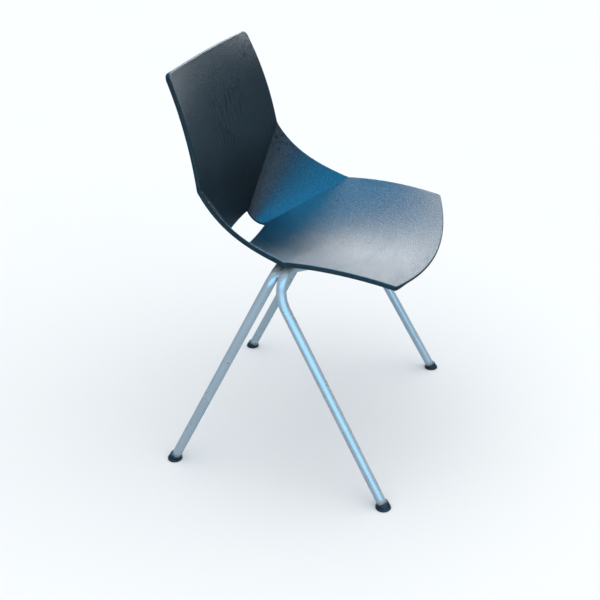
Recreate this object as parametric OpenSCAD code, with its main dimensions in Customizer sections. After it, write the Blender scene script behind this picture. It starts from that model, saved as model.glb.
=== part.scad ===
// Stacking side chair: one-piece moulded shell on two bent steel leg tubes.
// Millimetres, +Z up, floor at z = 0.  The chair faces -Y and is symmetric about x = 0.
// Sides are named for the person sitting in the chair: left is +X, right is -X.

/* [Shell] */
// shell wall thickness
shell_t = 5; // [4:0.5:6]
// depth the rim lip hangs below the wall
rim_lip = 4; // [2:0.5:5]
// radius of the two top corners of the back
top_corner_r = 12; // [8:1:16]
// radius of the two front corners of the seat
front_corner_r = 5; // [4:1:10]
// half width at the top of the back
top_x = 193; // [185:1:205]
// height of the top corners of the back
top_z = 793; // [780:1:810]
// half width where the back edge folds into the wing
back_fold_x = 214.7; // [210:0.1:220]
// height of the fold in the back edge
back_fold_z = 595; // [585:1:605]
// half width where the wing folds into the seat edge
seat_fold_x = 228.2; // [226:0.1:232]
// height of the fold in the seat edge
seat_fold_z = 480.6; // [480:0.1:486]
// half width at the front corners of the seat
front_x = 229.6; // [222:0.1:236]
// height of the front corners
front_z = 460.4; // [455:0.1:466]
// half width of the slot between back and seat
slot_x = 47.5; // [40:0.5:55]

/* [Leg frame] */
// outside diameter of the leg tubes
tube_d = 19; // [17:0.5:19]
// wall of the leg tubes
tube_wall = 1.5; // [1.2:0.1:2]
// half width of the front feet at the floor
front_foot_x = 265.6; // [258:0.1:272]
// distance of the front feet ahead of the middle
front_foot_y = 221.5; // [215:0.1:228]
// half width of the rear feet at the floor
rear_foot_x = 238.7; // [232:0.1:246]
// distance of the rear feet behind the middle
rear_foot_y = 231.7; // [225:0.1:238]
// height of the front cross run under the seat
front_cross_z = 417.7; // [416:0.1:418]
// height of the rear cross run under the seat
rear_cross_z = 408.9; // [407:0.1:409.5]
// tight bend radius at the top of the legs
top_bend_r = 29; // [27:0.5:29]
// soft bend radius part way up the front legs
soft_bend_r = 80; // [60:5:80]

/* [Fastening] */
// half spacing of the fixing bosses
boss_x = 52; // [50:0.5:54]
// outside diameter of a moulded boss
boss_d = 18; // [16:0.5:20]
// distance of a fixing screw from its cross run
tab_reach = 22; // [20:0.5:24]
// thickness of the welded fixing tabs
tab_t = 3; // [2.5:0.5:3.5]
// fixing screw shank diameter
screw_d = 5; // [4:0.5:5]

/* [Glides] */
// diameter of the glide sole
sole_d = 30; // [28:1:34]
// thickness of the glide sole
sole_t = 4; // [3:0.5:5]
// height of the tube end centre above the floor
tube_end_z = 10; // [9:0.5:12]
// length of the glide spigot inside the tube
spigot_l = 24; // [18:1:32]
// radial running clearance of the spigot
spigot_gap = 0.06; // [0.04:0.01:0.09]

/* [Hidden] */
$fn = 96;
// how far cutters run past the faces they cut
past = 1;

// the whole chair moves by this much in y so that its footprint is centred
y_shift = 4.165;

// ---- shell: key points of the left half, [x, y, z] ----
top_p = [top_x, 204, top_z];
back_edge_c = [206, 160.7, 703];
back_fold = [back_fold_x, 144.8, back_fold_z];
wing_c1 = [219.6, 108, 532.4];
wing_c2 = [226.6, 53.9, 504.8];
seat_fold = [seat_fold_x, -14, seat_fold_z];
seat_edge_c = [231.3, -114.9, 485.4];
front_p = [front_x, -218.5, front_z];
slot_back = [slot_x, 157, 450.8];
slot_seat = [slot_x, 120.1, 425.5];
// control points of the slot end, between slot_back and slot_seat
slot_c1 = [slot_x, 149.7, 432.7];
slot_c2 = [slot_x, 137.4, 424.2];
// centre line of the back, slot to top edge, [y, z]
back_mid = [[158.5, 450.8], [160, 565], [176, 680], [207.6, 794]];
// centre line of the seat, slot to front edge, [y, z]
seat_mid = [[121.5, 422], [0, 431], [-200, 446], [-254, 436.6]];
// position of the fold along the back and the seat, 0 at the slot, 1 at the outer edge
back_k = 0.44;
seat_k = 0.35;
// where the corner rounding starts across each panel, and the share of the panel's length it takes
back_edge_len = 353;
seat_edge_len = 328;
back_round_u = 1 - top_corner_r / top_x;
seat_round_u = 1 - front_corner_r / front_x;
back_round_v = top_corner_r / back_edge_len;
seat_round_v = front_corner_r / seat_edge_len;

function unit(v) = v / norm(v);
function mix(a, b, t) = a + (b - a) * t;
function quad(a, b, c, t) = (1 - t) * (1 - t) * a + 2 * t * (1 - t) * b + t * t * c;
function cubic(p, t) = pow(1 - t, 3) * p[0] + 3 * t * pow(1 - t, 2) * p[1]
    + 3 * t * t * (1 - t) * p[2] + pow(t, 3) * p[3];
function flip_x(p) = [-p[0], p[1], p[2]];

// dish(x, w) rises softly from the middle and then almost straight; w sets how wide the soft part is
function dish(x, w) = sqrt(x * x + w * w) - w;

// inner face of the back panel; u is 0 in the middle and 1 at the left edge, v runs from slot to top
function back_edge(v) = v <= back_k ? mix(slot_back, back_fold, v / back_k)
    : quad(back_fold, back_edge_c, top_p, (v - back_k) / (1 - back_k));
function back_at(u, v) = let (e = back_edge(v), m = cubic(back_mid, v), g = u * u)
    [u * e[0], mix(m[0], e[1], g), mix(m[1], e[2], g)];

// upper face of the seat panel; v runs from slot to front edge
function seat_edge(v) = v <= seat_k ? mix(slot_seat, seat_fold, v / seat_k)
    : quad(seat_fold, seat_edge_c, front_p, (v - seat_k) / (1 - seat_k));
// the dish is narrow at the slot and widens to the front, and its middle line keeps level for longer
rear_dish = 100;
front_dish = 400;
level_run = 1.3;
function past_fold(v) = (v - seat_k) / (1 - seat_k);
function seat_mid_t(v) = v <= seat_k ? v : mix(seat_k, 1, pow(past_fold(v), level_run));
function dish_w(v) = v <= seat_k ? rear_dish : mix(rear_dish, front_dish, past_fold(v));
function seat_at(u, v) = let (e = seat_edge(v), m = cubic(seat_mid, seat_mid_t(v)), w = dish_w(v),
    g = dish(u * e[0], w) / dish(e[0], w))
    [u * e[0], mix(m[0], e[1], u * u), mix(m[1], e[2], g)];

// inner face of the left wing; s runs from slot to outer rim, t from back fold to seat fold
function wing_at(s, t) = cubic([mix(slot_back, back_fold, s), mix(slot_c1, wing_c1, s),
    mix(slot_c2, wing_c2, s), mix(slot_seat, seat_fold, s)], t);

// surface normals by small differences, all pointing to the sitter's side
d_uv = 0.001;
function lim(a) = min(max(a, 0), 1);
function back_n(u, v) = unit(cross(
    back_at(lim(u + d_uv), lim(v + d_uv)) - back_at(lim(u - d_uv), lim(v - d_uv)),
    back_at(lim(u - d_uv), lim(v + d_uv)) - back_at(lim(u + d_uv), lim(v - d_uv))));
function seat_n(u, v) = -unit(cross(
    seat_at(lim(u + d_uv), lim(v + d_uv)) - seat_at(lim(u - d_uv), lim(v - d_uv)),
    seat_at(lim(u - d_uv), lim(v + d_uv)) - seat_at(lim(u + d_uv), lim(v - d_uv))));
function wing_n(s, t) = -unit(cross(
    wing_at(lim(s + d_uv), lim(t + d_uv)) - wing_at(lim(s - d_uv), lim(t - d_uv)),
    wing_at(lim(s - d_uv), lim(t + d_uv)) - wing_at(lim(s + d_uv), lim(t - d_uv))));
// along the folds both faces share one normal
function back_fold_n(s) = unit(back_n(1, s * back_k) + wing_n(s, 0));
function seat_fold_n(s) = unit(seat_n(1, s * seat_k) + wing_n(s, 1));

// wall thickness at a distance from the rim: the lip hangs below the last few millimetres
lip_in = 7;
lip_ramp = 2.5;
top_lip = 1;
// stands for a point that is nowhere near the rim
inside = 99;
function wall(rim_gap, lip) = shell_t + lip * min(max((lip_in - rim_gap) / lip_ramp, 0), 1);

// rows beyond the fold run down to a rounded corner at the side
function row_v(v, u, k, round_u, round_v) = v <= k ? v
    : k + (v - k) * ((u <= round_u ? 1
        : 1 - round_v * (1 - sqrt(max(0, 1 - pow((u - round_u) / (1 - round_u), 2))))) - k) / (1 - k);

// column positions over the half width: wide steps, then close steps over the lip and the corner
wide_u = [0, 0.12, 0.25, 0.38, 0.5, 0.62, 0.73, 0.82, 0.89];
close_gaps = [12, 8, 5, 2.2, 0.6, 0];
function columns(half) = [each wide_u, for (gap = close_gaps) 1 - gap / half];
back_u = columns(top_x);
seat_u = columns(front_x);
nc = len(back_u) - 1;
// rows: fold rows first, then the rows beyond the fold
nf = 6;
fold_s = [0, 0.17, 0.36, 0.56, 0.78, 0.965, 1];
outer_steps = 9;
last_row = 0.968;
function rows(k) = [for (s = fold_s) s * k, for (i = [1:outer_steps - 1]) mix(k, 1, i / outer_steps),
    mix(k, 1, last_row), 1];
back_v = rows(back_k);
seat_v = rows(seat_k);
nr = len(back_v) - 1;
nw = 6;
// length of the wing from slot to rim
wing_len = 170;

// distance from the side rim, which starts where the fold meets it
function side_gap(i, u, half) = i > nf || (i == nf && u == 1) ? (1 - u) * half : inside;

// one grid point: [inner, outer]
function back_pair(j, i) = let (u = back_u[j],
    v = row_v(back_v[i], u, back_k, back_round_u, back_round_v),
    p = back_at(u, v), n = j == nc && i <= nf ? back_fold_n(fold_s[i]) : back_n(u, v),
    side_wall = wall(side_gap(i, u, back_edge(v)[0]), rim_lip),
    top_wall = wall((1 - v) * back_edge_len, top_lip))
    [p, p - n * max(side_wall, top_wall)];
function seat_pair(j, i) = let (u = seat_u[j],
    v = row_v(seat_v[i], u, seat_k, seat_round_u, seat_round_v),
    p = seat_at(u, v), n = j == nc && i <= nf ? seat_fold_n(fold_s[i]) : seat_n(u, v))
    [p, p - n * wall(side_gap(i, u, seat_edge(v)[0]), rim_lip)];
function wing_pair(i, k) = let (s = fold_s[i], t = k / nw, p = wing_at(s, t))
    [p, p - wing_n(s, t) * wall((1 - s) * wing_len, rim_lip)];

function mirror_pair(q) = [flip_x(q[0]), flip_x(q[1])];

// full-width grids, left edge to right edge
back_grid = [for (i = [0:nr]) concat([for (j = [nc:-1:0]) back_pair(j, i)],
    [for (j = [1:nc]) mirror_pair(back_pair(j, i))])];
seat_grid = [for (i = [0:nr]) concat([for (j = [nc:-1:0]) seat_pair(j, i)],
    [for (j = [1:nc]) mirror_pair(seat_pair(j, i))])];
wing_grid = [for (i = [0:nf]) [for (k = [0:nw]) k == 0 ? back_pair(nc, i)
    : k == nw ? seat_pair(nc, i) : wing_pair(i, k)]];
wing_grid_r = [for (row = wing_grid) [for (q = row) mirror_pair(q)]];

// triangles as point triples; flip reverses them
function tri(a, b, c, flip) = flip ? [a, c, b] : [a, b, c];
function skin(g, side, flip) = [for (i = [0:len(g) - 2], j = [0:len(g[0]) - 2])
    each [tri(g[i][j][side], g[i][j + 1][side], g[i + 1][j + 1][side], flip),
        tri(g[i][j][side], g[i + 1][j + 1][side], g[i + 1][j][side], flip)]];
function both(g, flip) = concat(skin(g, 0, flip), skin(g, 1, !flip));
// a strip closing the wall along a line of pairs
function strip(l, flip) = [for (i = [0:len(l) - 2])
    each [tri(l[i][0], l[i + 1][1], l[i + 1][0], flip), tri(l[i][0], l[i][1], l[i + 1][1], flip)]];

shell_tris = concat(
    both(back_grid, false), both(seat_grid, true), both(wing_grid, true), both(wing_grid_r, false),
    strip(back_grid[nr], false), strip(seat_grid[nr], true),
    strip(back_grid[0], true), strip(seat_grid[0], false),
    strip([for (i = [nf:nr]) back_grid[i][0]], false),
    strip([for (i = [nf:nr]) back_grid[i][2 * nc]], true),
    strip([for (i = [nf:nr]) seat_grid[i][0]], true),
    strip([for (i = [nf:nr]) seat_grid[i][2 * nc]], false),
    strip(wing_grid[0], false), strip(wing_grid_r[0], true),
    strip(wing_grid[nf], true), strip(wing_grid_r[nf], false));

// height of the seat face over a plan point, found by halving
halvings = 24;
first_v = 0.15;
last_v = 0.95;
function seat_v_at(x, y, lo, hi, n) = let (m = (lo + hi) / 2, e = seat_edge(m))
    n == 0 ? m : seat_at(x / e[0], m)[1] > y ? seat_v_at(x, y, m, hi, n - 1)
    : seat_v_at(x, y, lo, m, n - 1);
function seat_height(x, y) = let (v = seat_v_at(x, y, first_v, last_v, halvings), e = seat_edge(v))
    seat_at(x / e[0], v)[2];

// ---- leg tubes ----
tube_r = tube_d / 2;
bore_r = tube_r - tube_wall;
front_cross_y = -54;
rear_cross_y = 25.7;
front_low = [front_foot_x, -front_foot_y, 0];
front_soft = [229.7, -5.6, 402.7];
front_top = [225.6, -9.6, 464];
front_in = [74, front_cross_y, front_cross_z];
rear_low = [rear_foot_x, rear_foot_y, 0];
rear_top = [223.9, -2.8, 469.6];
rear_in = [95, rear_cross_y, rear_cross_z];
inner_bend_r = 40;
front_axis = unit(front_soft - front_low);
rear_axis = unit(rear_top - rear_low);
front_end = front_low + front_axis * tube_end_z / front_axis[2];
rear_end = rear_low + rear_axis * tube_end_z / rear_axis[2];

function both_sides(p) = concat(p, [for (i = [len(p) - 1:-1:0]) flip_x(p[i])]);
front_path = both_sides([front_end, front_soft, front_top, front_in]);
rear_path = both_sides([rear_end, rear_top, rear_in]);
front_radii = [soft_bend_r, top_bend_r, inner_bend_r, inner_bend_r, top_bend_r, soft_bend_r];
rear_radii = [top_bend_r, inner_bend_r, inner_bend_r, top_bend_r];

function dir(p, i) = unit(p[i + 1] - p[i]);
function turn(p, i) = acos(dir(p, i - 1) * dir(p, i));
function set_back(p, r, i) = i == 0 || i == len(p) - 1 ? 0 : r[i - 1] * tan(turn(p, i) / 2);

module along(a, x, z) {
    // places a child with its local x and z on the given directions, at point a
    y = cross(z, x);
    multmatrix([[x[0], y[0], z[0], a[0]], [x[1], y[1], z[1], a[1]], [x[2], y[2], z[2], a[2]], [0, 0, 0, 1]])
        children();
}

function any_normal(z) = unit(cross(abs(z[0]) > 0.8 ? [0, 1, 0] : [1, 0, 0], z));

module rod(a, b, r) {
    z = unit(b - a);
    along(a, any_normal(z), z) cylinder(h = norm(b - a), r = r);
}

// The bends are a hair fuller than the straights, and each straight runs a little way into its bends,
// so every seam between them is one clean circle.
bend_extra = 0.05;
run_in = 0.5;
module bent_tube(p, radii, r) {
    last = len(p) - 2;
    for (i = [0:last])
        rod(p[i] + dir(p, i) * (i == 0 ? 0 : set_back(p, radii, i) - run_in),
            p[i + 1] - dir(p, i) * (i == last ? 0 : set_back(p, radii, i + 1) - run_in), r);
    for (i = [1:len(p) - 2]) bend(p, radii, r, i);
}

// the bend at point i of a path
module bend(p, radii, r, i) {
    d0 = dir(p, i - 1);
    n = unit(cross(d0, dir(p, i)));
    out = cross(d0, n);
    start = p[i] - d0 * set_back(p, radii, i);
    along(start - out * radii[i - 1], out, n)
        rotate_extrude(angle = turn(p, i))
            translate([radii[i - 1], 0]) circle(r = r + bend_extra);
}

// a path made longer at both ends, for the bore
function past_ends(p) = let (n = len(p) - 1)
    [for (i = [0:n]) i == 0 ? p[0] - dir(p, 0) * past : i == n ? p[n] + dir(p, n - 1) * past : p[i]];

module leg_tube(p, radii) {
    difference() {
        bent_tube(p, radii, tube_r);
        bent_tube(past_ends(p), radii, bore_r);
    }
}

// ---- fastening points: [x, y, top of tab] for the left side ----
front_fix = [boss_x, front_cross_y - tab_reach, front_cross_z + tab_t];
rear_fix = [boss_x, rear_cross_y + tab_reach, rear_cross_z + tab_t];
insert_d = 7;
insert_l = 10;
insert_squeeze = 0.1;

module boss(p) {
    top = seat_height(p[0], p[1]) - shell_t / 2;
    translate(p) cylinder(d = boss_d, h = top - p[2]);
}

module boss_bore(p) {
    translate(p - [0, 0, past]) cylinder(d = insert_d, h = insert_l + 2 * past);
}

// all parts are drawn for the left side; side -1 mirrors them to the right
module place(side) {
    translate([0, y_shift, 0]) mirror([side < 0 ? 1 : 0, 0, 0]) children();
}

module seat_shell() {
    pts = [for (t = shell_tris) each t];
    faces = [for (i = [0:3:len(pts) - 1]) [i, i + 1, i + 2]];
    color([0.10, 0.12, 0.15])
        translate([0, y_shift, 0])
            difference() {
                union() {
                    polyhedron(points = pts, faces = faces);
                    for (p = [front_fix, rear_fix], m = [0, 1])
                        mirror([m, 0, 0]) boss(p);
                }
                for (p = [front_fix, rear_fix], m = [0, 1])
                    mirror([m, 0, 0]) boss_bore(p);
            }
}

paint = [0.72, 0.76, 0.80];
module front_leg_tube() {
    color(paint) place(1) leg_tube(front_path, front_radii);
}

module rear_leg_tube() {
    color(paint) place(1) leg_tube(rear_path, rear_radii);
}

// weld bead that fills the groove where the top bends of the two leg tubes meet
weld_at = [216.5, -1.2, 447.5];
weld_dir = unit([-0.77, -0.26, 0.6]);
weld_r = 5.5;
weld_l = 16;
module weld(side) {
    color(paint) place(side)
        difference() {
            rod(weld_at - weld_dir * weld_l / 2, weld_at + weld_dir * weld_l / 2, weld_r);
            bend(front_path, front_radii, tube_r, 2);
            bend(rear_path, rear_radii, tube_r, 1);
        }
}
module weld_left() { weld(1); }
module weld_right() { weld(-1); }

// fixing tab: flat plate notched round its cross run and drilled for the screw
tab_w = 26;
tab_past_screw = 11;
tab_under_tube = 6;
hole_slack = 0.6;
module fixing_tab(side, p, cross_y, cross_z) {
    toward = p[1] > cross_y ? 1 : -1;
    near = cross_y + toward * tab_under_tube;
    far = p[1] + toward * tab_past_screw;
    color(paint) place(side)
        difference() {
            translate([p[0] - tab_w / 2, min(near, far), p[2] - tab_t])
                cube([tab_w, abs(far - near), tab_t]);
            translate([p[0] - tab_w, cross_y, cross_z])
                rotate([0, 90, 0]) cylinder(h = 2 * tab_w, r = tube_r);
            translate(p - [0, 0, tab_t + past]) cylinder(d = screw_d + hole_slack, h = tab_t + 2 * past);
        }
}
module fixing_tab_front_left() { fixing_tab(1, front_fix, front_cross_y, front_cross_z); }
module fixing_tab_front_right() { fixing_tab(-1, front_fix, front_cross_y, front_cross_z); }
module fixing_tab_rear_left() { fixing_tab(1, rear_fix, rear_cross_y, rear_cross_z); }
module fixing_tab_rear_right() { fixing_tab(-1, rear_fix, rear_cross_y, rear_cross_z); }

// brass insert in the boss, its lower face level with the boss
thread_slack = 0.1;
module threaded_insert(side, p) {
    color([0.78, 0.62, 0.30]) place(side)
        translate(p)
            difference() {
                cylinder(d = insert_d - insert_squeeze, h = insert_l);
                translate([0, 0, -past]) cylinder(d = screw_d + thread_slack, h = insert_l + 2 * past);
            }
}
module threaded_insert_front_left() { threaded_insert(1, front_fix); }
module threaded_insert_front_right() { threaded_insert(-1, front_fix); }
module threaded_insert_rear_left() { threaded_insert(1, rear_fix); }
module threaded_insert_rear_right() { threaded_insert(-1, rear_fix); }

// flat washer against the underside of the tab
washer_d = 12;
washer_t = 1;
washer_slack = 0.4;
module washer(side, p) {
    color([0.66, 0.67, 0.69]) place(side)
        translate(p - [0, 0, tab_t + washer_t])
            difference() {
                cylinder(d = washer_d, h = washer_t);
                translate([0, 0, -past]) cylinder(d = screw_d + washer_slack, h = washer_t + 2 * past);
            }
}
module washer_front_left() { washer(1, front_fix); }
module washer_front_right() { washer(-1, front_fix); }
module washer_rear_left() { washer(1, rear_fix); }
module washer_rear_right() { washer(-1, rear_fix); }

// pan head screw driven up through washer and tab into the insert
head_d = 9.5;
head_t = 3;
key_d = 3.4;
key_deep = 1.8;
module fixing_screw(side, p) {
    color([0.62, 0.63, 0.66]) place(side)
        translate(p - [0, 0, tab_t + washer_t + head_t])
            difference() {
                union() {
                    cylinder(d = head_d, h = head_t);
                    cylinder(d = screw_d, h = head_t + tab_t + washer_t + insert_l);
                }
                translate([0, 0, -past]) cylinder(d = key_d, h = key_deep + past, $fn = 6);
            }
}
module fixing_screw_front_left() { fixing_screw(1, front_fix); }
module fixing_screw_front_right() { fixing_screw(-1, front_fix); }
module fixing_screw_rear_left() { fixing_screw(1, rear_fix); }
module fixing_screw_rear_right() { fixing_screw(-1, rear_fix); }

// wedge-shaped glide: level sole, body square to the tube, hollow spigot up the bore
glide_body_d = 25;
glide_block = 80;
face_gap = 0.3;
spigot_wall = 3;
spigot_root = 3;
sole_foot_t = 1;
sole_foot_in = 2;
sole_out = 1.5;
sole_ahead = 3;
module glide(side, tip, axis, ahead) {
    sole_at = [tip[0] + sole_out, tip[1] + ahead * sole_ahead, 0];
    color([0.05, 0.06, 0.07]) place(side)
        difference() {
            union() {
                intersection() {
                    rod(tip - axis * glide_block / 2, tip - axis * face_gap, glide_body_d / 2);
                    translate([tip[0] - glide_block / 2, tip[1] - glide_block / 2, 0])
                        cube([glide_block, glide_block, glide_block / 2]);
                }
                translate(sole_at) cylinder(d1 = sole_d - sole_foot_in, d2 = sole_d, h = sole_foot_t);
                translate(sole_at + [0, 0, sole_foot_t]) cylinder(d = sole_d, h = sole_t - sole_foot_t);
                rod(tip - axis * spigot_root, tip + axis * spigot_l, bore_r - spigot_gap);
            }
            rod(tip + axis * spigot_root / 2, tip + axis * (spigot_l + past), bore_r - spigot_wall);
        }
}
module glide_front_left() { glide(1, front_end, front_axis, -1); }
module glide_front_right() { glide(-1, front_end, front_axis, -1); }
module glide_rear_left() { glide(1, rear_end, rear_axis, 1); }
module glide_rear_right() { glide(-1, rear_end, rear_axis, 1); }

seat_shell();
front_leg_tube();
rear_leg_tube();
weld_left();
weld_right();
fixing_tab_front_left();
fixing_tab_front_right();
fixing_tab_rear_left();
fixing_tab_rear_right();
threaded_insert_front_left();
threaded_insert_front_right();
threaded_insert_rear_left();
threaded_insert_rear_right();
washer_front_left();
washer_front_right();
washer_rear_left();
washer_rear_right();
fixing_screw_front_left();
fixing_screw_front_right();
fixing_screw_rear_left();
fixing_screw_rear_right();
glide_front_left();
glide_front_right();
glide_rear_left();
glide_rear_right();
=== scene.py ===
"""A stacking side chair: moulded plastic shell on two painted leg tubes, with swivelling glides."""

import math

import bpy
import numpy as np
from mathutils import Matrix, Vector


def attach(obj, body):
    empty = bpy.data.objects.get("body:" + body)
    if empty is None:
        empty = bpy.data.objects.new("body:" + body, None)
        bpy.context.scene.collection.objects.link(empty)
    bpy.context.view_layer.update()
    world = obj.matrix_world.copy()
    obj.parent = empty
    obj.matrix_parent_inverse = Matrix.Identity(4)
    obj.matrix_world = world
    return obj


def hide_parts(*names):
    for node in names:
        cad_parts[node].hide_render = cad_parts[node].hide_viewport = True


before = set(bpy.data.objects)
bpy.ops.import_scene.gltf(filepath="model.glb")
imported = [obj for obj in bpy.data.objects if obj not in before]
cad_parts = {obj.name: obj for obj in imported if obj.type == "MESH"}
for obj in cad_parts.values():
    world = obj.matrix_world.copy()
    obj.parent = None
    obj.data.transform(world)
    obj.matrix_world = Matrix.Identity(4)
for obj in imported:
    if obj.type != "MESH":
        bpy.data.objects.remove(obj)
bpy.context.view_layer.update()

MM = 0.001  # geometry below is worked out in millimetres, and meshes are made in metres
Y_SHIFT = 4.165  # the chair's key points are given before this shift along y

# ---- shell: key points of the left half, [x, y, z], and the two middle lines, [y, z] ----
TOP = (193, 204, 793)
BACK_EDGE = (206, 160.7, 703)
BACK_FOLD = (214.7, 144.8, 595)
WING_A = (219.6, 108, 532.4)
WING_B = (226.6, 53.9, 504.8)
SEAT_FOLD = (228.2, -14, 480.6)
SEAT_EDGE = (231.3, -114.9, 485.4)
FRONT = (229.6, -218.5, 460.4)
SLOT_BACK = (47.5, 157, 450.8)
SLOT_A = (47.5, 149.7, 432.7)
SLOT_B = (47.5, 137.4, 424.2)
SLOT_SEAT = (47.5, 120.1, 425.5)
BACK_MIDDLE = ((158.5, 450.8), (160, 565), (176, 680), (207.6, 794))
SEAT_MIDDLE = ((121.5, 422), (0, 431), (-200, 446), (-254, 436.6))
BACK_K = 0.44  # where the fold meets the back, as a share of the way up
SEAT_K = 0.35  # where the fold meets the seat, as a share of the way forward
TOP_CORNER = 12
FRONT_CORNER = 5
BACK_LENGTH = 353  # of a whole panel's edge, slot to outer end, if it ran on as it does beyond the fold
SEAT_LENGTH = 328
WALL = 5
SIDE_LIP = 4
TOP_LIP = 1
RIM_ROUND = 2.2  # radius worked on every edge of the moulding
BOSS_X = 52
BOSS_R = 9
BOSS_BORE = 3.5

# ---- tubes ----
TUBE_R = 9.5
BORE_R = 8
FRONT_POINTS = ((265.6, -221.5, 0), (229.7, -5.6, 402.7), (225.6, -9.6, 464), (74, -54, 417.7))
FRONT_BENDS = (80, 29, 40)
REAR_POINTS = ((238.7, 231.7, 0), (223.9, -2.8, 469.6), (95, 25.7, 408.9))
REAR_BENDS = (29, 40)
TUBE_END_Z = 10
TAB_REACH = 22
TAB_T = 3
WELD_AT = (216.5, -1.2, 447.5)
WELD_DIR = (-0.77, -0.26, 0.6)
WELD_OFFSET = 4.6  # from the line where the tubes touch to the middle of a bead
WELD_R = 3.2
WELD_LENGTH = 17
WELD_RIPPLES = 9
TAB_WELD_R = 1.7
TAB_WELD_LENGTH = 22
TAB_WELD_RIPPLES = 11
TUBE_EDGE = 0.35  # chamfer on the cut ends of the tubes

# ---- glides ----
GLIDE_R = 12.5
SOLE_R = 15
SOLE_T = 4
SOLE_SHIFT = (1.5, 3)  # the sole's middle lies this far outwards and ahead of the tube's end
SPIGOT_UP = 6
SPIGOT_PLAY = 0.4
GLIDE_EDGE = 0.5
FACE_GAP = 0.3

# ---- stage, in metres ----
FLOOR_HALF = 30.0
SUN_PLACE = (-0.5, -0.6, 3)
SEAT_MIDPOINT = (0, -0.05, 0.45)
CAMERA_PLACE = (-1.6157, -0.4714, 1.1760)
CAMERA_ANGLES = (-72.654, 27.840, 0.4235)  # azimuth, elevation and roll in degrees
CAMERA_LENS = 54.47
CAMERA_SENSOR = 36


# ================= small maths =================

def unit(v):
    v = np.asarray(v, float)
    return v / np.linalg.norm(v, axis=-1, keepdims=True)


def mix(a, b, t):
    """a to b by t, where t has one number for each point."""
    t = np.asarray(t, float)[..., None]
    return np.asarray(a, float) * (1 - t) + np.asarray(b, float) * t


def quad(a, b, c, t):
    return mix(mix(a, b, t), mix(b, c, t), t)


def cubic(p, t):
    return mix(quad(p[0], p[1], p[2], t), quad(p[1], p[2], p[3], t), t)


def smooth(low, high, x):
    t = np.clip((np.asarray(x, float) - low) / (high - low), 0, 1)
    return t * t * (3 - 2 * t)


def mirror_x(points):
    return np.asarray(points, float) * (-1, 1, 1)


# ================= mesh helpers =================

def make_piece(name, build, material, body, replaces=()):
    """A smooth-shaded mesh from millimetre vertices; it rides on a body and hides the parts it replaces.
    """
    mesh = bpy.data.meshes.new(name)
    placed = (np.asarray(build.verts, float) + (0, Y_SHIFT, 0)) * MM
    mesh.from_pydata(placed.tolist(), [], [list(f) for f in build.faces])
    mesh.validate()
    mesh.polygons.foreach_set("use_smooth", [True] * len(mesh.polygons))
    mesh.materials.append(material)
    mesh.update()
    piece = bpy.data.objects.new(name, mesh)
    bpy.context.scene.collection.objects.link(piece)
    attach(piece, body)
    if replaces:
        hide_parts(*replaces)
    return piece


class Build:
    """Collects vertices and faces of one piece."""

    def __init__(self):
        self.verts = []
        self.faces = []

    def add(self, verts, faces):
        start = len(self.verts)
        self.verts.extend(np.asarray(verts, float).tolist())
        self.faces.extend([[i + start for i in f] for f in faces])

    def rings(self, rings, cap_first=False, cap_last=False):
        """Joins closed rings of equal length, in order, with quads."""
        n = len(rings[0])
        faces = []
        for k in range(len(rings) - 1):
            for i in range(n):
                j = (i + 1) % n
                faces.append([k * n + i, k * n + j, (k + 1) * n + j, (k + 1) * n + i])
        if cap_first:
            faces.append(list(range(n))[::-1])
        if cap_last:
            faces.append([(len(rings) - 1) * n + i for i in range(n)])
        self.add(np.concatenate([np.asarray(r, float) for r in rings]), faces)


def circle(centre, x, y, r, n):
    a = np.linspace(0, 2 * math.pi, n, endpoint=False)[:, None]
    return np.asarray(centre, float) + (np.cos(a) * x + np.sin(a) * y) * r


def side_axes(z):
    """Two unit vectors square to z and to each other."""
    z = unit(z)
    helper = (0, 1, 0) if abs(z[0]) > 0.8 else (1, 0, 0)
    x = unit(np.cross(helper, z))
    return x, np.cross(z, x)


def lathe(build, base, axis, profile, n, cap_first=False, cap_last=False):
    """Turns a profile of [radius, height] round an axis that starts at base."""
    axis = unit(axis)
    x, y = side_axes(axis)
    build.rings(
        [circle(np.asarray(base) + axis * h, x, y, r, n) for r, h in profile],
        cap_first,
        cap_last,
    )


# ================= shell =================

def back_edge(v):
    low = mix(SLOT_BACK, BACK_FOLD, v / BACK_K)
    high = quad(BACK_FOLD, BACK_EDGE, TOP, (v - BACK_K) / (1 - BACK_K))
    return np.where((v <= BACK_K)[..., None], low, high)


def back_at(u, v):
    """Sitter's face of the back: u 0 in the middle, 1 at the edge; v from the slot to the top."""
    edge = back_edge(v)
    middle = cubic(BACK_MIDDLE, v)
    yz = mix(middle, edge[..., 1:], u * u)
    return np.concatenate([(u * edge[..., 0])[..., None], yz], -1)


def seat_edge(v):
    low = mix(SLOT_SEAT, SEAT_FOLD, v / SEAT_K)
    high = quad(SEAT_FOLD, SEAT_EDGE, FRONT, (v - SEAT_K) / (1 - SEAT_K))
    return np.where((v <= SEAT_K)[..., None], low, high)


def dish(x, width):
    return np.sqrt(x * x + width * width) - width


def seat_at(u, v):
    """Upper face of the seat; v from the slot to the front edge."""
    edge = seat_edge(v)
    past = np.clip((v - SEAT_K) / (1 - SEAT_K), 0, None)
    middle = cubic(SEAT_MIDDLE, np.where(v <= SEAT_K, v, SEAT_K + (1 - SEAT_K) * past**1.3))
    width = 100 + 300 * past
    rise = dish(u * edge[..., 0], width) / dish(edge[..., 0], width)
    y = middle[..., 0] * (1 - u * u) + edge[..., 1] * u * u
    z = middle[..., 1] * (1 - rise) + edge[..., 2] * rise
    return np.stack([u * edge[..., 0], y, z], -1)


def wing_at(s, t):
    """Inner face of the left wing; s from slot to rim, t from the back fold to the seat fold."""
    lines = ((SLOT_BACK, BACK_FOLD), (SLOT_A, WING_A), (SLOT_B, WING_B), (SLOT_SEAT, SEAT_FOLD))
    return cubic([mix(a, b, s) for a, b in lines], t)


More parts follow.
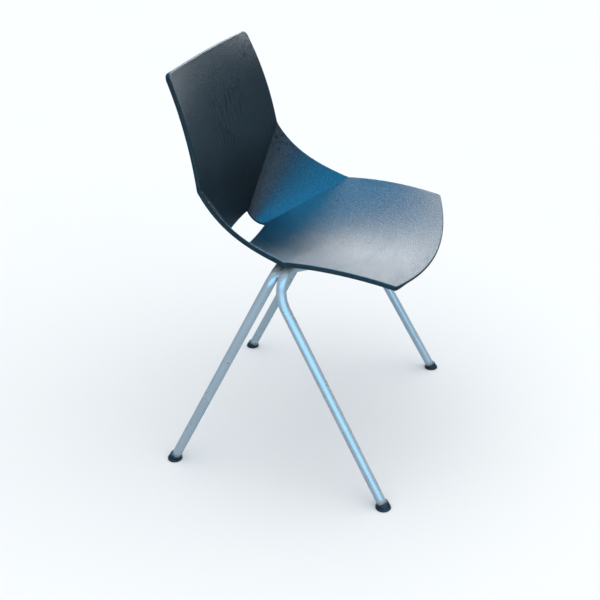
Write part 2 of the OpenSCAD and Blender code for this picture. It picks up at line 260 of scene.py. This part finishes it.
def rim_steps():
    """Distances from a rim: close round the worked edge and the lip's ramp, then wider."""
    rounded = [RIM_ROUND * (1 - math.cos(math.radians(a))) for a in (0, 18, 36, 54, 72, 90)]
    return rounded + [3.0, 3.7, 4.5, 5.1, 5.75, 6.4, 7, 8, 10, 13, 17, 22]


def spread(near_low, near_high, length, step=8.0):
    """Positions 0 to 1 over a length, with its own close steps at each end."""
    low = [d / length for d in near_low]
    high = [1 - d / length for d in near_high][::-1]
    count = max(2, int((high[0] - low[-1]) * length / step))
    inner = np.linspace(low[-1], high[0], count + 1)[1:-1].tolist()
    return np.array(low + inner + high)


def rounded_v(v, u, k, corner, half, length):
    """Rows beyond the fold bend down at the side, so that the corner is rounded."""
    start = 1 - corner / half
    across = np.clip((u - start) / (1 - start), 0, 1)
    reach = 1 - corner / length * (1 - np.sqrt(1 - across**2))
    return np.where(v <= k, v, k + (v - k) * (reach - k) / (1 - k))


def skin_patches():
    """The sitter's face as grids, each with a direction that its faces look in and its rim lips."""
    slot_steps = [RIM_ROUND * (1 - math.cos(math.radians(a))) for a in (0, 30, 60, 90)] + [3, 5, 8]
    fold_steps = [0, 1.5, 3, 5, 8, 12]
    half = 1 - spread(rim_steps(), [0, 5], 200)
    u = np.concatenate([-half[:-1], half[::-1]])
    s = spread(slot_steps, rim_steps(), 160)
    t = spread([0, 1.5, 3, 5, 8], [0, 1.5, 3, 5, 8], 170, 7)
    back_rest = spread(fold_steps, rim_steps(), 196)[1:]
    seat_rest = spread(fold_steps, [d * 1.1 for d in rim_steps()], 215)[1:]
    back_v = np.concatenate([s * BACK_K, BACK_K + (1 - BACK_K) * back_rest])
    seat_v = np.concatenate([s * SEAT_K, SEAT_K + (1 - SEAT_K) * seat_rest])

    def panel(at, rows, k, corner, half, length):
        uu, vv = np.meshgrid(u, rows)
        grid = at(np.abs(uu), rounded_v(vv, np.abs(uu), k, corner, half, length))
        return grid * np.stack([np.where(uu < 0, -1, 1), np.ones_like(uu), np.ones_like(uu)], -1)

    def end_lips(grid, lip):
        lips = np.full(grid.shape[:2], float(SIDE_LIP))
        lips[-1] = lip + (SIDE_LIP - lip) * smooth(0.80, 0.97, np.abs(u))
        return lips

    back = panel(back_at, back_v, BACK_K, TOP_CORNER, TOP[0], BACK_LENGTH)
    seat = panel(seat_at, seat_v, SEAT_K, FRONT_CORNER, FRONT[0], SEAT_LENGTH)
    tt, ss = np.meshgrid(t, s)
    wing = wing_at(ss, tt)
    side = np.full(wing.shape[:2], float(SIDE_LIP))
    return [
        (back, (0, -1, 0), end_lips(back, TOP_LIP)),
        (seat, (0, 0, 1), end_lips(seat, 0)),
        (wing, (-1, 0, 0.6), side),
        (mirror_x(wing), (1, 0, 0.6), side),
    ]


def weld_patches(patches):
    """One list of points and quads from the grids, with shared points along the folds."""
    nudge = 0.00123  # keeps equal points on one side of a rounding step
    index = {}
    points = []
    lips = []
    quads = []
    for grid, facing, lip in patches:
        rows, cols = grid.shape[:2]
        ids = np.zeros((rows, cols), int)
        for i in range(rows):
            for j in range(cols):
                key = tuple(np.round(grid[i, j] + nudge, 2))
                if key not in index:
                    index[key] = len(points)
                    points.append(grid[i, j])
                    lips.append(lip[i, j])
                ids[i, j] = index[key]
        a, b, c, d = ids[:-1, :-1], ids[:-1, 1:], ids[1:, 1:], ids[1:, :-1]
        made = np.stack([a, b, c, d], -1).reshape(-1, 4)
        p = np.array(points)
        across = np.cross(p[made[:, 2]] - p[made[:, 0]], p[made[:, 3]] - p[made[:, 1]])
        if across.sum(0) @ np.asarray(facing, float) < 0:
            made = made[:, ::-1]
        quads.append(made)
    quads = np.concatenate(quads)
    distinct = np.array([len(set(q)) for q in quads.tolist()])
    return np.array(points), quads[distinct == 4], np.array(lips)


def rim_edges(quads):
    """Directed edges that belong to one quad only."""
    seen = {}
    for q in quads.tolist():
        for i in range(4):
            a, b = q[i], q[(i + 1) % 4]
            seen[(a, b)] = seen.get((a, b), 0) + 1
    return [e for e in seen if (e[1], e[0]) not in seen]


def vertex_normals(points, quads):
    across = np.cross(
        points[quads[:, 2]] - points[quads[:, 0]], points[quads[:, 3]] - points[quads[:, 1]]
    )
    normals = np.zeros_like(points)
    for i in range(4):
        np.add.at(normals, quads[:, i], across)
    return unit(normals)


def soften_folds(points, quads, rim, rounds=10):
    """Rounds the two folds a little; everything far from a fold stays where it is."""
    lines = [
        (np.array(a, float), np.array(b, float))
        for a, b in ((SLOT_BACK, BACK_FOLD), (SLOT_SEAT, SEAT_FOLD))
    ]
    folded = points * (1, 1, 1)
    folded[:, 0] = np.abs(folded[:, 0])
    near = np.full(len(points), 1e9)
    for a, b in lines:
        t = np.clip(((folded - a) @ (b - a)) / ((b - a) @ (b - a)), 0, 1)
        near = np.minimum(near, np.linalg.norm(folded - a - t[:, None] * (b - a), axis=1))
    weight = (1 - smooth(2, 9, near))[:, None] * 0.5
    edges = np.concatenate([quads[:, [i, (i + 1) % 4]] for i in range(4)])
    edges = np.unique(np.sort(edges, axis=1), axis=0)
    on_rim = np.zeros(len(points), bool)
    on_rim[np.array(rim).ravel()] = True
    rim_only = np.sort(np.array(rim), axis=1)
    inner = edges[~(on_rim[edges[:, 0]] | on_rim[edges[:, 1]])]
    half_in = edges[on_rim[edges[:, 0]] != on_rim[edges[:, 1]]]
    links = [(inner[:, 0], inner[:, 1]), (inner[:, 1], inner[:, 0])]
    links += [(rim_only[:, 0], rim_only[:, 1]), (rim_only[:, 1], rim_only[:, 0])]
    first_on = on_rim[half_in[:, 0]]
    links.append((half_in[first_on, 1], half_in[first_on, 0]))
    links.append((half_in[~first_on, 0], half_in[~first_on, 1]))
    for _ in range(rounds):
        total = np.zeros_like(points)
        count = np.zeros(len(points))
        for to, frm in links:
            length = np.linalg.norm(points[to] - points[frm], axis=1)
            pull = 1 / np.maximum(length, 0.3)
            np.add.at(total, to, points[frm] * pull[:, None])
            np.add.at(count, to, pull)
        mean = total / np.maximum(count, 1e-9)[:, None]
        points = np.where(count[:, None] > 0, points + (mean - points) * weight, points)
    return points


def rim_distance(points, rim):
    """Distance from each point to the nearest rim edge, and which of its two ends is nearer."""
    a = points[[e[0] for e in rim]]
    b = points[[e[1] for e in rim]]
    along = b - a
    size = np.maximum((along * along).sum(1), 1e-12)
    best = np.full(len(points), 1e9)
    nearest = np.zeros(len(points), int)
    ends = np.array(rim)
    for start in range(0, len(points), 400):
        chunk = points[start : start + 400, None, :]
        t = np.clip(((chunk - a) * along).sum(-1) / size, 0, 1)
        distance = np.linalg.norm(chunk - a - t[..., None] * along, axis=-1)
        pick = distance.argmin(1)
        rows = np.arange(len(pick))
        best[start : start + 400] = distance[rows, pick]
        nearest[start : start + 400] = ends[pick, (t[rows, pick] > 0.5).astype(int)]
    return best, nearest


def seat_underside(x, y):
    """Height of the seat's lower face over a plan point."""
    low, high = 0.15, 0.95
    for _ in range(30):
        v = np.array((low + high) / 2)
        if seat_at(abs(x) / seat_edge(v)[0], v)[1] > y:
            low = float(v)
        else:
            high = float(v)
    return seat_at(abs(x) / seat_edge(v)[0], v)[2] - WALL


def boss_places():
    front_y = FRONT_POINTS[3][1] - TAB_REACH
    rear_y = REAR_POINTS[2][1] + TAB_REACH
    front_z = FRONT_POINTS[3][2] + TAB_T
    rear_z = REAR_POINTS[2][2] + TAB_T
    return [(side * BOSS_X, y, z) for y, z in ((front_y, front_z), (rear_y, rear_z)) for side in (1, -1)]


def add_bosses(build):
    """Moulded bosses under the seat, flared into it, with the bore that holds the insert."""
    for x, y, z in boss_places():
        top = seat_underside(x, y) - z
        edge = 0.8
        profile = [(BOSS_BORE, 12), (BOSS_BORE, 0.5), (BOSS_BORE + 0.5, 0), (BOSS_R - edge, 0)]
        profile += [
            (BOSS_R - edge + edge * math.sin(a), edge - edge * math.cos(a))
            for a in np.radians((30, 60, 90))
        ]
        profile += [(BOSS_R + 0.1, top - 4), (BOSS_R + 0.6, top - 2), (BOSS_R + 1.8, top - 0.5)]
        profile += [(BOSS_R + 4, top + 1)]
        lathe(build, (x, y, z), (0, 0, 1), profile, 64)


def shell_mesh():
    points, quads, lips = weld_patches(skin_patches())
    rim = rim_edges(quads)
    points = soften_folds(points, quads, rim)
    normals = vertex_normals(points, quads)
    distance, nearest = rim_distance(points, rim)
    # the slot's own rim has no lip
    slot_rim = (np.abs(points[nearest][:, 0]) < SLOT_BACK[0] + 1) & (points[nearest][:, 1] > 100)
    slot_rim &= points[nearest][:, 2] < SLOT_BACK[2] + 5
    lip = np.where(slot_rim, 0, lips[nearest])
    depth = WALL + lip * (1 - smooth(4.5, 7, distance))
    inward = np.clip(RIM_ROUND - distance, 0, None)
    drop = RIM_ROUND - np.sqrt(RIM_ROUND**2 - inward**2)
    inner = points - normals * drop[:, None]
    outer = points - normals * (depth - drop)[:, None]
    n = len(points)
    faces = quads.tolist() + (quads[:, ::-1] + n).tolist()
    faces += [[b, a, a + n, b + n] for a, b in rim]
    build = Build()
    build.add(np.concatenate([inner, outer]), faces)
    add_bosses(build)
    return build


# ================= tubes =================

def both_sides(points):
    return [np.asarray(p, float) for p in points] + [mirror_x(p) for p in points[::-1]]


def from_height(points, z):
    """The same route, starting at height z on its first straight."""
    a, b = np.asarray(points[0], float), np.asarray(points[1], float)
    return [a + (b - a) * (z - a[2]) / (b[2] - a[2])] + [np.asarray(p, float) for p in points[1:]]


def route(points, radii, degrees=2.5):
    """Centre points and directions of a bent tube: straights joined by exact arcs."""
    places = [points[0]]
    for i in range(1, len(points) - 1):
        d0, d1 = unit(points[i] - points[i - 1]), unit(points[i + 1] - points[i])
        angle = math.acos(np.clip(d0 @ d1, -1, 1))
        back = radii[i - 1] * math.tan(angle / 2)
        start = points[i] - d0 * back
        inward = unit(d1 - d0 * (d0 @ d1))
        centre = start + inward * radii[i - 1]
        steps = max(4, int(math.degrees(angle) / degrees))
        for a in np.linspace(0, angle, steps + 1):
            places.append(centre + (d0 * math.sin(a) - inward * math.cos(a)) * radii[i - 1])
    places.append(points[-1])
    places = fill_straights(np.array(places))
    tangents = np.gradient(places, axis=0)
    return places, unit(tangents)


def fill_straights(places, longest=12.0):
    out = [places[0]]
    for a, b in zip(places[:-1], places[1:]):
        count = max(1, int(np.linalg.norm(b - a) / longest))
        out += [a + (b - a) * k / count for k in range(1, count + 1)]
    return np.array(out)


def frames(tangents):
    """Side vectors that turn with the route and don't twist."""
    x = side_axes(tangents[0])[0]
    found = []
    for t in tangents:
        x = unit(x - t * (x @ t))
        found.append((x, np.cross(t, x)))
    return found


def tube_mesh(points, radii):
    places, tangents = route(points, radii)
    sides = frames(tangents)
    last = len(places) - 1

    def ring(k, r):
        return circle(places[k], sides[k][0], sides[k][1], r, 56)

    outer = [ring(k, TUBE_R) for k in range(last + 1)]
    inner = [ring(k, BORE_R) for k in range(last, -1, -1)]
    outer[0] = ring(0, TUBE_R - TUBE_EDGE)
    outer[-1] = ring(last, TUBE_R - TUBE_EDGE)
    outer.insert(1, ring(0, TUBE_R) + tangents[0] * TUBE_EDGE)
    outer.insert(-1, ring(last, TUBE_R) - tangents[last] * TUBE_EDGE)
    build = Build()
    build.rings(outer + inner + [outer[0]])
    return build


def ripple_bead(build, centre, direction, outward, radius, length, ripples):
    """A short weld bead: a tapering, rippled ridge along a line."""
    direction, outward = unit(direction), unit(outward)
    across = np.cross(direction, outward)
    steps = ripples * 6
    rings = []
    for k in range(steps + 1):
        t = k / steps
        taper = math.sqrt(max(0.02, 1 - abs(2 * t - 1) ** 3))
        wave = 1 + 0.06 * abs(math.sin(math.pi * ripples * t))
        at = np.asarray(centre, float) + direction * (t - 0.5) * length
        rings.append(circle(at, outward, across, radius * taper * wave, 20))
    build.rings(rings, True, True)


def weld_mesh(side):
    """Two beads in the grooves on either side of the line where the leg tubes touch."""
    front = route(from_height(FRONT_POINTS, TUBE_END_Z), FRONT_BENDS, 0.5)[0]
    rear = route(from_height(REAR_POINTS, TUBE_END_Z), REAR_BENDS, 0.5)[0]
    centre, along = np.array(WELD_AT), unit(WELD_DIR)
    near_front = front[np.linalg.norm(front - centre, axis=1).argmin()]
    near_rear = rear[np.linalg.norm(rear - centre, axis=1).argmin()]
    between = unit(near_rear - near_front)
    groove = unit(np.cross(along, between))
    build = Build()
    for way in (1, -1):
        outward = groove * way
        at = centre + outward * WELD_OFFSET
        ripple_bead(build, at, along, outward, WELD_R, WELD_LENGTH, WELD_RIPPLES)
    if side < 0:
        build.verts = mirror_x(build.verts).tolist()
        build.faces = [f[::-1] for f in build.faces]
    return build


def tab_weld_mesh():
    """Fillet beads that hold the four fixing tabs to the cross runs."""
    build = Build()
    for points, forward in ((FRONT_POINTS, -1), (REAR_POINTS, 1)):
        y, z = points[-1][1], points[-1][2]
        for side in (1, -1):
            for lift, up in ((TAB_T + 0.4, 1), (-0.4, -1)):
                reach = math.sqrt(TUBE_R**2 - lift**2)
                at = (side * BOSS_X, y + forward * (reach + 0.2), z + lift)
                outward = (0, forward, up)
                ripple_bead(
                    build, at, (1, 0, 0), outward, TAB_WELD_R, TAB_WELD_LENGTH, TAB_WELD_RIPPLES
                )
    return build


# ================= glides =================

def glide_mesh(points, side, ahead):
    """Round sole under a slanting body that sits square to the tube, with a spigot up the bore."""
    foot = np.asarray(points[0], float) * (side, 1, 1)
    above = np.asarray(points[1], float) * (side, 1, 1)
    axis = unit(above - foot)
    tip = foot + axis * TUBE_END_Z / axis[2]
    x, y = side_axes(axis)
    n = 64
    face = tip - axis * FACE_GAP
    edge = GLIDE_EDGE
    spigot_r = BORE_R - SPIGOT_PLAY
    rings = [circle(tip + axis * SPIGOT_UP, x, y, spigot_r, n), circle(face, x, y, spigot_r, n)]
    rings.append(circle(face, x, y, GLIDE_R - edge, n))
    for a in np.radians((30, 60, 90)):
        down = edge * (1 - math.cos(a))
        rings.append(circle(face - axis * down, x, y, GLIDE_R - edge + edge * math.sin(a), n))
    rim = rings[-1]
    bottom = rim - axis * ((rim[:, 2] - 1.5) / axis[2])[:, None]
    rings += [rim + (bottom - rim) * t for t in (0.33, 0.66, 1)]
    build = Build()
    build.rings(rings, True, True)
    sole = (tip[0] + side * SOLE_SHIFT[0], tip[1] + ahead * SOLE_SHIFT[1], 0)
    r, t, e = SOLE_R, SOLE_T, GLIDE_EDGE
    profile = [(0.5, 0.6), (r - 4, 0.6), (r - 3.4, 0), (r - 1.2, 0), (r - 0.4, 0.3), (r, 1)]
    profile += [(r, t - e), (r - 0.15, t - 0.15), (r - e, t), (0.5, t)]
    lathe(build, sole, (0, 0, 1), profile, n, True, True)
    return build


# ================= materials =================

class Nodes:
    """A material's node tree, with short ways to add the nodes used here."""

    def __init__(self, name):
        self.material = bpy.data.materials.new(name)
        self.material.use_nodes = True
        self.tree = self.material.node_tree
        self.shader = self.tree.nodes["Principled BSDF"]
        coordinates = self.tree.nodes.new("ShaderNodeTexCoord")
        self.place = coordinates.outputs["Object"]
        self.facing = coordinates.outputs["Normal"]

    def set(self, **values):
        for name, value in values.items():
            self.shader.inputs[name.replace("_", " ")].default_value = value

    def link(self, output, socket):
        self.tree.links.new(output, self.shader.inputs[socket])

    def scaled(self, scale, turn=(0, 0, 0)):
        node = self.tree.nodes.new("ShaderNodeMapping")
        node.inputs["Scale"].default_value = scale
        node.inputs["Rotation"].default_value = [math.radians(a) for a in turn]
        self.tree.links.new(self.place, node.inputs["Vector"])
        return node.outputs["Vector"]

    def noise(self, scale, detail, rough, where=None):
        node = self.tree.nodes.new("ShaderNodeTexNoise")
        node.inputs["Scale"].default_value = scale
        node.inputs["Detail"].default_value = detail
        node.inputs["Roughness"].default_value = rough
        self.tree.links.new(where or self.place, node.inputs["Vector"])
        return node.outputs["Fac"]

    def cells(self, scale):
        node = self.tree.nodes.new("ShaderNodeTexVoronoi")
        node.inputs["Scale"].default_value = scale
        self.tree.links.new(self.place, node.inputs["Vector"])
        return node.outputs["Distance"]

    def ramp(self, value, low, high, from_value=0.0, to_value=1.0):
        node = self.tree.nodes.new("ShaderNodeMapRange")
        node.inputs["From Min"].default_value = low
        node.inputs["From Max"].default_value = high
        node.inputs["To Min"].default_value = from_value
        node.inputs["To Max"].default_value = to_value
        self.tree.links.new(value, node.inputs["Value"])
        return node.outputs["Result"]

    def math(self, kind, a, b):
        node = self.tree.nodes.new("ShaderNodeMath")
        node.operation = kind
        for socket, value in zip(node.inputs, (a, b)):
            if isinstance(value, (int, float)):
                socket.default_value = value
            else:
                self.tree.links.new(value, socket)
        return node.outputs[0]

    def around(self, place, reach, soft=0.45):
        """1 inside an ellipsoid at a place on the object, fading to 0 at its surface."""
        node = self.tree.nodes.new("ShaderNodeMapping")
        node.inputs["Scale"].default_value = [1 / r for r in reach]
        node.inputs["Location"].default_value = [-p / r for p, r in zip(place, reach)]
        self.tree.links.new(self.place, node.inputs["Vector"])
        length = self.tree.nodes.new("ShaderNodeVectorMath")
        length.operation = "LENGTH"
        self.tree.links.new(node.outputs["Vector"], length.inputs[0])
        return self.ramp(length.outputs["Value"], soft, 1.0, 1.0, 0.0)

    def forward(self):
        """1 on faces that look towards the front of the chair, 0 on faces that look back."""
        node = self.tree.nodes.new("ShaderNodeSeparateXYZ")
        self.tree.links.new(self.facing, node.inputs[0])
        return self.ramp(node.outputs["Y"], -0.10, 0.0, 1.0, 0.0)

    def blend(self, amount, dark, light):
        node = self.tree.nodes.new("ShaderNodeMix")
        node.data_type = "RGBA"
        colours = [s for s in node.inputs if s.type == "RGBA"]
        for socket, value in zip(colours, (dark, light)):
            if isinstance(value, tuple):
                socket.default_value = (*value, 1)
            else:
                self.tree.links.new(value, socket)
        self.tree.links.new(amount, node.inputs[0])
        return [s for s in node.outputs if s.type == "RGBA"][0]

    def bump(self, height, distance, strength, under=None):
        node = self.tree.nodes.new("ShaderNodeBump")
        node.inputs["Strength"].default_value = strength
        node.inputs["Distance"].default_value = distance
        self.tree.links.new(height, node.inputs["Height"])
        if under is not None:
            self.tree.links.new(under, node.inputs["Normal"])
        return node.outputs["Normal"]


def scuffs(nodes):
    """Dark streaks on the back, and blotches at its top corner and on the left wing."""
    streak = nodes.noise(1.0, 3.0, 0.65, nodes.scaled((210, 30, 26), (0, 8, 0)))
    streak = nodes.ramp(streak, 0.53, 0.60)
    on_back = nodes.around((0.01, 0.185, 0.675), (0.105, 0.06, 0.085))
    total = nodes.math("MULTIPLY", streak, on_back)
    blotch = nodes.ramp(nodes.noise(75, 4.0, 0.7), 0.52, 0.60)
    places = (
        ((0.165, 0.20, 0.765), (0.045, 0.03, 0.05)),
        ((0.08, 0.19, 0.715), (0.03, 0.03, 0.03)),
        ((0.20, 0.135, 0.555), (0.035, 0.05, 0.05)),
    )
    for place, reach in places:
        mark = nodes.math("MULTIPLY", blotch, nodes.around(place, reach))
        total = nodes.math("MAXIMUM", total, mark)
    return nodes.math("MULTIPLY", total, nodes.forward())


def rubbed_patch(nodes):
    """Pale fine streaks across the seat, near its front edge."""
    streak = nodes.noise(1.0, 4.0, 0.7, nodes.scaled((22, 150, 60), (0, 0, 12)))
    streak = nodes.ramp(streak, 0.50, 0.66)
    return nodes.math("MULTIPLY", streak, nodes.around((-0.03, -0.15, 0.44), (0.11, 0.06, 0.05)))


def shell_material():
    nodes = Nodes("moulded_black_plastic")
    grain = nodes.noise(330, 2.0, 0.75)
    pebble = nodes.cells(700)
    broad = nodes.noise(7.0, 4.0, 0.55)
    brushed = nodes.noise(1.0, 4.0, 0.6, nodes.scaled((9, 60, 30), (0, 0, 8)))
    marks = nodes.math("MULTIPLY", scuffs(nodes), 0.9)
    tone = nodes.blend(nodes.ramp(broad, 0.35, 0.65), (0.004, 0.009, 0.013), (0.008, 0.014, 0.019))
    tone = nodes.blend(nodes.ramp(grain, 0.50, 0.70, 0.0, 0.5), tone, (0.022, 0.031, 0.038))
    tone = nodes.blend(marks, tone, (0.002, 0.003, 0.004))
    tone = nodes.blend(nodes.math("MULTIPLY", rubbed_patch(nodes), 0.30), tone, (0.085, 0.088, 0.082))
    nodes.link(tone, "Base Color")
    rough = nodes.ramp(broad, 0.3, 0.7, 0.28, 0.32)
    rough = nodes.math("ADD", rough, nodes.ramp(brushed, 0.45, 0.7, 0.0, 0.05))
    rough = nodes.math("ADD", rough, nodes.math("MULTIPLY", marks, 0.22))
    nodes.link(rough, "Roughness")
    shine = nodes.ramp(grain, 0.36, 0.66, 0.40, 0.60)
    shine = nodes.math("MULTIPLY", shine, nodes.ramp(marks, 0.0, 1.0, 1.0, 0.45))
    nodes.link(shine, "Specular IOR Level")
    normal = nodes.bump(pebble, 0.0003, 0.5)
    normal = nodes.bump(grain, 0.0013, 0.6, normal)
    nodes.link(normal, "Normal")
    nodes.set(IOR=1.42)
    return nodes.material


def tube_material():
    nodes = Nodes("silver_grey_paint")
    peel = nodes.noise(260, 3.0, 0.5)
    flake = nodes.cells(2400)
    broad = nodes.noise(11.0, 4.0, 0.6)
    dust = nodes.ramp(nodes.noise(420, 3.0, 0.7), 0.60, 0.72)
    tone = nodes.blend(nodes.ramp(broad, 0.35, 0.65), (0.54, 0.61, 0.66), (0.60, 0.67, 0.72))
    tone = nodes.blend(nodes.math("MULTIPLY", flake, 0.18), tone, (0.74, 0.81, 0.86))
    tone = nodes.blend(nodes.math("MULTIPLY", dust, 0.10), tone, (0.40, 0.45, 0.49))
    nodes.link(tone, "Base Color")
    nodes.link(nodes.ramp(broad, 0.3, 0.7, 0.25, 0.33), "Roughness")
    normal = nodes.bump(peel, 0.00005, 0.2)
    normal = nodes.bump(flake, 0.00002, 0.15, normal)
    nodes.link(normal, "Normal")
    nodes.set(Metallic=0.5, Coat_Weight=0.6, Coat_Roughness=0.13)
    return nodes.material


def tab_material():
    nodes = Nodes("painted_tab_steel")
    broad = nodes.noise(40.0, 4.0, 0.6)
    peel = nodes.noise(420, 3.0, 0.5)
    tone = nodes.blend(nodes.ramp(broad, 0.35, 0.65), (0.42, 0.46, 0.49), (0.52, 0.56, 0.59))
    nodes.link(tone, "Base Color")
    nodes.link(nodes.ramp(broad, 0.3, 0.7, 0.32, 0.46), "Roughness")
    nodes.link(nodes.bump(peel, 0.00012, 0.4), "Normal")
    nodes.set(Metallic=0.5)
    return nodes.material


def zinc_material():
    nodes = Nodes("zinc_plated_steel")
    crystals = nodes.cells(900)
    rings = nodes.noise(500, 2.0, 0.6, nodes.scaled((1, 1, 6)))
    tone = nodes.blend(crystals, (0.50, 0.51, 0.53), (0.66, 0.67, 0.68))
    nodes.link(tone, "Base Color")
    nodes.link(nodes.ramp(rings, 0.3, 0.7, 0.24, 0.42), "Roughness")
    nodes.link(nodes.bump(rings, 0.00004, 0.5), "Normal")
    nodes.set(Metallic=1.0)
    return nodes.material


def brass_material():
    nodes = Nodes("brass_insert")
    turned = nodes.noise(600, 2.0, 0.6, nodes.scaled((1, 1, 8)))
    tarnish = nodes.noise(160, 4.0, 0.6)
    tone = nodes.blend(nodes.ramp(tarnish, 0.4, 0.7), (0.72, 0.52, 0.20), (0.40, 0.27, 0.12))
    nodes.link(tone, "Base Color")
    nodes.link(nodes.ramp(turned, 0.3, 0.7, 0.22, 0.4), "Roughness")
    nodes.link(nodes.bump(turned, 0.00004, 0.5), "Normal")
    nodes.set(Metallic=1.0)
    return nodes.material


def glide_material():
    nodes = Nodes("black_glide_plastic")
    grain = nodes.noise(1500, 3.0, 0.6)
    broad = nodes.noise(60, 4.0, 0.6)
    scuff = nodes.ramp(nodes.noise(240, 4.0, 0.7), 0.55, 0.75)
    tone = nodes.blend(broad, (0.012, 0.014, 0.017), (0.022, 0.025, 0.028))
    tone = nodes.blend(nodes.math("MULTIPLY", scuff, 0.5), tone, (0.07, 0.075, 0.08))
    nodes.link(tone, "Base Color")
    nodes.link(nodes.ramp(scuff, 0, 1, 0.38, 0.62), "Roughness")
    nodes.link(nodes.bump(grain, 0.00008, 0.5), "Normal")
    return nodes.material


def floor_material():
    nodes = Nodes("pale_floor")
    broad = nodes.noise(1.3, 4.0, 0.5)
    tone = nodes.blend(broad, (0.80, 0.81, 0.82), (0.83, 0.84, 0.85))
    nodes.link(tone, "Base Color")
    nodes.set(Roughness=0.9, Specular_IOR_Level=0.0)
    return nodes.material


# ================= the chair =================

def dress_cad_nodes(names, material):
    for name in names:
        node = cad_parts[name]
        node.data.materials.clear()
        node.data.materials.append(material)


def named(kind):
    return sorted(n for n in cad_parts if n.startswith(kind))


def build_chair():
    plastic = shell_material()
    paint = tube_material()
    glide_plastic = glide_material()
    shell = shell_mesh()
    make_piece("shell", shell, plastic, "frame", ["seat_shell"])
    routes = (
        ("front_leg_tube", FRONT_POINTS, FRONT_BENDS),
        ("rear_leg_tube", REAR_POINTS, REAR_BENDS),
    )
    for node, points, bends in routes:
        whole = both_sides(from_height(points, TUBE_END_Z))
        tube = tube_mesh(whole, bends + bends[::-1])
        make_piece(node + "_bent", tube, paint, "frame", [node])
    for side, word in ((1, "left"), (-1, "right")):
        bead = weld_mesh(side)
        name = "weld_" + word
        make_piece(name + "_bead", bead, paint, "frame", [name])
    make_piece("tab_weld_beads", tab_weld_mesh(), paint, "frame")
    for row, points, ahead in (("front", FRONT_POINTS, -1), ("rear", REAR_POINTS, 1)):
        for side, word in ((1, "left"), (-1, "right")):
            glide = glide_mesh(points, side, ahead)
            node = f"glide_{row}_{word}"
            make_piece(node + "_cup", glide, glide_plastic, node, [node])
    dress_cad_nodes(named("fixing_tab"), tab_material())
    dress_cad_nodes(named("washer") + named("fixing_screw"), zinc_material())
    dress_cad_nodes(named("threaded_insert"), brass_material())


# ================= floor, light and camera =================

def build_floor():
    half = FLOOR_HALF
    mesh = bpy.data.meshes.new("floor")
    corners = [(-half, -half, 0), (half, -half, 0), (half, half, 0), (-half, half, 0)]
    mesh.from_pydata(corners, [], [(0, 1, 2, 3)])
    mesh.materials.append(floor_material())
    floor = bpy.data.objects.new("floor", mesh)
    floor.visible_glossy = False
    bpy.context.scene.collection.objects.link(floor)


def aim(thing, place, target):
    thing.location = place
    thing.rotation_mode = "QUATERNION"
    thing.rotation_quaternion = (Vector(target) - Vector(place)).to_track_quat("-Z", "Y")


def soft_box(name, place, target, width, height, power, colour):
    """A softbox that shows only where the object mirrors it, and lights no matt surface."""
    lamp = bpy.data.lights.new(name, "AREA")
    lamp.shape = "RECTANGLE"
    lamp.size = width
    lamp.size_y = height
    lamp.energy = power
    lamp.color = colour
    light = bpy.data.objects.new(name, lamp)
    light.visible_diffuse = False
    light.visible_camera = False
    bpy.context.scene.collection.objects.link(light)
    aim(light, place, target)


def build_world():
    """A faint blue surrounding light; the camera sees a plain pale backdrop in its place."""
    world = bpy.data.worlds.new("studio")
    bpy.context.scene.world = world
    world.use_nodes = True
    tree = world.node_tree
    background = tree.nodes["Background"]
    background.inputs["Color"].default_value = (0.42, 0.74, 1.0, 1)
    background.inputs["Strength"].default_value = 0.36
    backdrop = tree.nodes.new("ShaderNodeBackground")
    backdrop.inputs["Color"].default_value = (0.90, 0.93, 0.95, 1)
    seen = tree.nodes.new("ShaderNodeLightPath")
    choice = tree.nodes.new("ShaderNodeMixShader")
    tree.links.new(seen.outputs["Is Camera Ray"], choice.inputs[0])
    tree.links.new(background.outputs[0], choice.inputs[1])
    tree.links.new(backdrop.outputs[0], choice.inputs[2])
    tree.links.new(choice.outputs[0], tree.nodes["World Output"].inputs["Surface"])


def build_lights():
    """A wide, slightly warm light from above, and four softboxes, most of them tinted blue."""
    sun = bpy.data.lights.new("overhead", "SUN")
    sun.angle = math.radians(110)
    sun.energy = 3.35
    sun.color = (1.0, 0.92, 0.85)
    overhead = bpy.data.objects.new("overhead", sun)
    overhead.visible_glossy = False
    bpy.context.scene.collection.objects.link(overhead)
    aim(overhead, SUN_PLACE, (0, 0, 0))
    soft_box("wall", (3.0, 0.30, 1.50), SEAT_MIDPOINT, 2.2, 1.4, 68, (0.90, 0.95, 1.0))
    soft_box("ceiling", (0.6, -0.1, 2.7), (0.6, -0.1, 0), 3.0, 2.6, 200, (0.0, 0.46, 1.0))
    soft_box("side", (-1.9, -0.75, 0.45), (-0.25, -0.05, 0.42), 4.2, 1.7, 40, (0.16, 0.62, 1.0))
    soft_box("front", (0.1, -2.6, 2.1), (0.2, 0.1, 0.53), 1.6, 0.8, 18, (0.65, 0.8, 1.0))


def build_camera():
    """The camera stands high on the chair's right side and looks across it."""
    azimuth, elevation, roll = (math.radians(a) for a in CAMERA_ANGLES)
    forward = Vector((
        -math.sin(azimuth) * math.cos(elevation),
        math.cos(azimuth) * math.cos(elevation),
        -math.sin(elevation),
    ))
    level = forward.cross(Vector((0, 0, 1))).normalized()
    right = level * math.cos(roll) + forward.cross(level) * math.sin(roll)
    up = right.cross(forward)
    camera = bpy.data.objects.new("camera", bpy.data.cameras.new("camera"))
    camera.data.sensor_width = CAMERA_SENSOR
    camera.data.lens = CAMERA_LENS
    axes = Matrix((right, up, -forward)).transposed().to_4x4()
    camera.matrix_world = Matrix.Translation(Vector(CAMERA_PLACE)) @ axes
    bpy.context.scene.collection.objects.link(camera)
    bpy.context.scene.camera = camera


build_chair()
build_floor()
build_world()
build_lights()
build_camera()
bpy.context.scene.view_settings.view_transform = "Standard"
